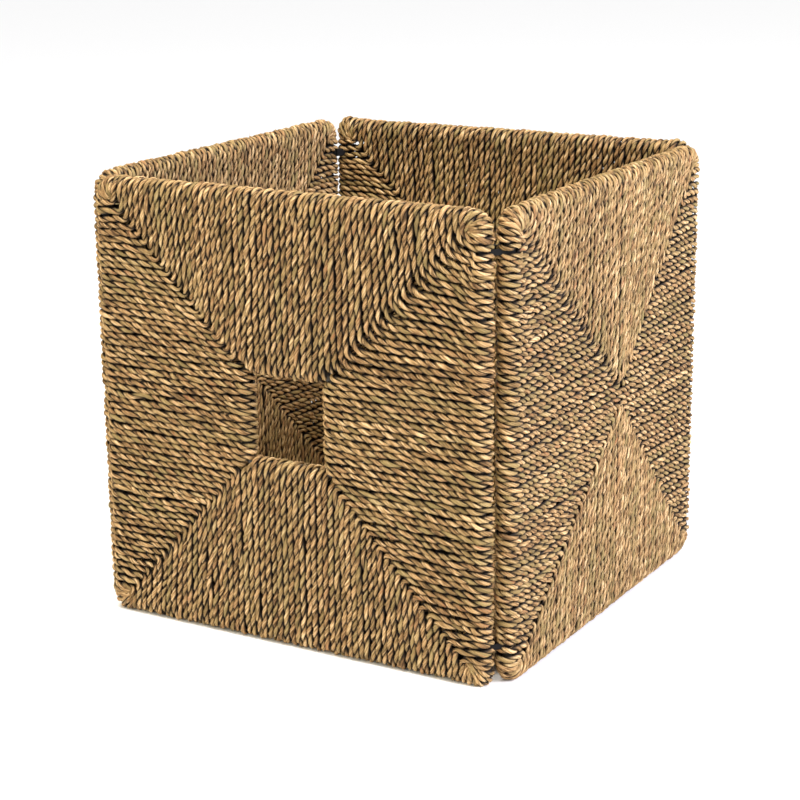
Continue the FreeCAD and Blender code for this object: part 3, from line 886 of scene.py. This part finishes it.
# %% [markdown]
# ## Stray fibres
# Dry leaves split, and short fibres stand off the cord everywhere. A hair system could grow them, but a
# few dozen thin tapered tubes per wall are enough, and they stay real geometry in every export.

# %% Stray fibres on each wall
FIBRES_PER_WALL = 70
FIBRE_RINGS = 7
SHORTEST, LONGEST = 4, 12
FIBRE_RADIUS = 0.17
FIBRE_ROOT = 0.7
DULLER = np.array([1, 0.5, 0.6])


def stray_fibre(strand):
    i = draws.integers(len(strand["line"]))
    n, t = strand["outward"][i], strand["ahead"][i]
    b = np.cross(t, n)
    start = strand["line"][i] + n * CORD_RADIUS * FIBRE_ROOT + b * draws.uniform(-1.2, 1.2)
    ahead = t * draws.choice([-1, 1]) + n * draws.uniform(0.05, 0.6) + b * draws.uniform(-0.8, 0.8)
    ahead = ahead / np.linalg.norm(ahead)
    curl = b * draws.uniform(-0.5, 0.5) - n * draws.uniform(0.0, 0.5)
    length = draws.uniform(SHORTEST, LONGEST)
    share = np.linspace(0, 1, FIBRE_RINGS)[:, None]
    line = start + ahead * length * share + curl * length * share**2
    side = np.cross(ahead, n)
    side = side / np.linalg.norm(side)
    over = np.cross(side, ahead)
    theta = np.arange(RING_SIDES) / RING_SIDES * 2 * math.pi
    taper = FIBRE_RADIUS * (1.02 - share)
    ring = np.cos(theta)[None, :, None] * side + np.sin(theta)[None, :, None] * over
    v = line[:, None, :] + ring * taper[:, :, None]
    leaf = np.tile(draws.uniform(0.3, 0.9, 3) * DULLER, (FIBRE_RINGS, 1))
    return {
        "v": v,
        "lift": np.ones((FIBRE_RINGS, RING_SIDES)),
        "leaf": leaf,
        "step": length / FIBRE_RINGS,
        "closed": False,
    }


for quarter, wall in enumerate(WALLS):
    cords = wall_cord[wall]
    fibres = [stray_fibre(cords[draws.integers(len(cords))]) for _ in range(FIBRES_PER_WALL)]
    thing = wound_piece(f"{wall}_stray_fibres", fibres, place_wall(quarter))
    dress(thing, "walls", seagrass)
    print(thing.name, len(fibres))

# %% [markdown]
# ## Finish: nylon ties and lacquered rods
# The ties keep their CAD shape, because strap, head and tail are all there. Their nylon is black and half
# matt, with a faint mould grain. The rods hardly show, but they are real pieces and get a dark lacquer
# with a soft grain in it.

# %% Nylon and lacquer
GRAIN_DETAIL, GRAIN_ROUGHENS, GRAIN_BUMP = 4, 0.15, 0.3


def grained(name, colour, second, roughness, gloss, grain_scale, depth):
    material, tree, shader = new_material(name)
    shader.inputs["Specular IOR Level"].default_value = gloss
    spot = node(tree, "ShaderNodeTexCoord").outputs["Object"]
    grain = stretched_noise(tree, spot, (grain_scale,) * 3, GRAIN_DETAIL)
    link(tree, mixed(tree, grain, colour, second), shader.inputs["Base Color"])
    rough = number(tree, "ADD", roughness, number(tree, "MULTIPLY", grain, GRAIN_ROUGHENS))
    link(tree, rough, shader.inputs["Roughness"])
    add_bump(tree, shader, grain, GRAIN_BUMP, depth)
    return material


nylon = grained("black_nylon", (0.003, 0.003, 0.003), (0.008, 0.007, 0.007), 0.5, 0.12, 900, 0.0001)
lacquer = grained("rod_lacquer", (0.02, 0.017, 0.014), (0.05, 0.04, 0.03), 0.32, 0.4, 260, 0.0002)
finished = {"tie_nylon": 0, "frame_rod": 0}
for name, thing in nodes.items():
    if "_tie_" in name:
        material, slot_name = nylon, "tie_nylon"
    elif name.endswith("_frame"):
        material, slot_name = lacquer, "frame_rod"
    else:
        continue
    thing.data.materials.clear()
    thing.data.materials.append(material)
    finished[slot_name] += 1
print("finished CAD pieces", finished)

# %% [markdown]
# ## Floor, light and camera
# A pale floor and a white room give the plain studio look. The strongest light stands to the right, so
# that the right wall is the brighter one. A weak warm one fills in from the front and another shines down
# from above. A very weak one inside the basket keeps the hand hole from going black.

# %% Floor
FLOOR_HALF = 6.0


def pale_floor():
    half = FLOOR_HALF
    verts = np.array([(-half, -half, 0), (half, -half, 0), (half, half, 0), (-half, half, 0)])
    floor = new_mesh_object("studio_floor", verts, np.array([[0, 1, 2, 3]]))
    material, tree, shader = new_material("studio_floor")
    shader.inputs["Base Color"].default_value = (0.93, 0.93, 0.93, 1)
    shader.inputs["Roughness"].default_value = 0.9
    shader.inputs["Specular IOR Level"].default_value = 0.1
    floor.data.materials.append(material)
    print("floor", 2 * half, "m wide")


pale_floor()

# %% Lights
LIT_POINT = Vector((0, 0, 0.12))


def soft_light(name, at, size, power, colour):
    data = bpy.data.lights.new(name, "AREA")
    data.shape = "SQUARE"
    data.size = size
    data.energy = power
    data.color = colour
    lamp = bpy.data.objects.new(name, data)
    lamp.location = at
    lamp.rotation_mode = "QUATERNION"
    lamp.rotation_quaternion = (LIT_POINT - Vector(at)).to_track_quat("-Z", "Y")
    bpy.context.scene.collection.objects.link(lamp)
    print(name, power, "W")


soft_light("key_light", (2.1, -0.25, 1.3), 1.0, 66, (0.98, 1.0, 1.16))
soft_light("fill_light", (-0.3, -2.3, 1.3), 1.2, 14, (1, 0.86, 0.40))
soft_light("top_light", (-0.3, -0.5, 1.7), 0.8, 22, (1, 0.95, 0.82))
soft_light("inside_light", (0, -0.02, 0.26), 0.1, 0.35, (1, 0.95, 0.85))
world = bpy.data.worlds.new("studio")
world.use_nodes = True
world.node_tree.nodes["Background"].inputs["Color"].default_value = (1, 1, 1, 1)
world.node_tree.nodes["Background"].inputs["Strength"].default_value = 1.0
bpy.context.scene.world = world
bpy.context.scene.view_settings.view_transform = "Standard"

# %% [markdown]
# ## Camera
# The camera looks a little down on the front corner, from the right, through a long lens, which keeps
# the upright edges nearly parallel.

# %% Camera
LENS = 89.5
AZIMUTH, ELEVATION, ROLL = math.radians(30.3), math.radians(15.8), math.radians(-0.6)
DISTANCE = 1.387
MIDDLE = Vector((0, 0, 0.1475))
AIM_LEFT, AIM_DOWN = 0.0054, 0.0182
SENSOR_WIDTH = 36
back = Vector((
    math.sin(AZIMUTH) * math.cos(ELEVATION),
    -math.cos(AZIMUTH) * math.cos(ELEVATION),
    math.sin(ELEVATION),
))
right = Vector((math.cos(AZIMUTH), math.sin(AZIMUTH), 0))
up = back.cross(right)
aim = MIDDLE - right * AIM_LEFT - up * AIM_DOWN
camera_data = bpy.data.cameras.new("studio_camera")
camera_data.lens = LENS
camera_data.sensor_width = SENSOR_WIDTH
camera = bpy.data.objects.new("studio_camera", camera_data)
bpy.context.scene.collection.objects.link(camera)
camera.location = aim + back * DISTANCE
camera.rotation_mode = "QUATERNION"
camera.rotation_quaternion = Quaternion(back, ROLL) @ back.to_track_quat("Z", "Y")
bpy.context.scene.camera = camera
print("camera", round(camera.location.length, 3), "m from the middle of the floor")
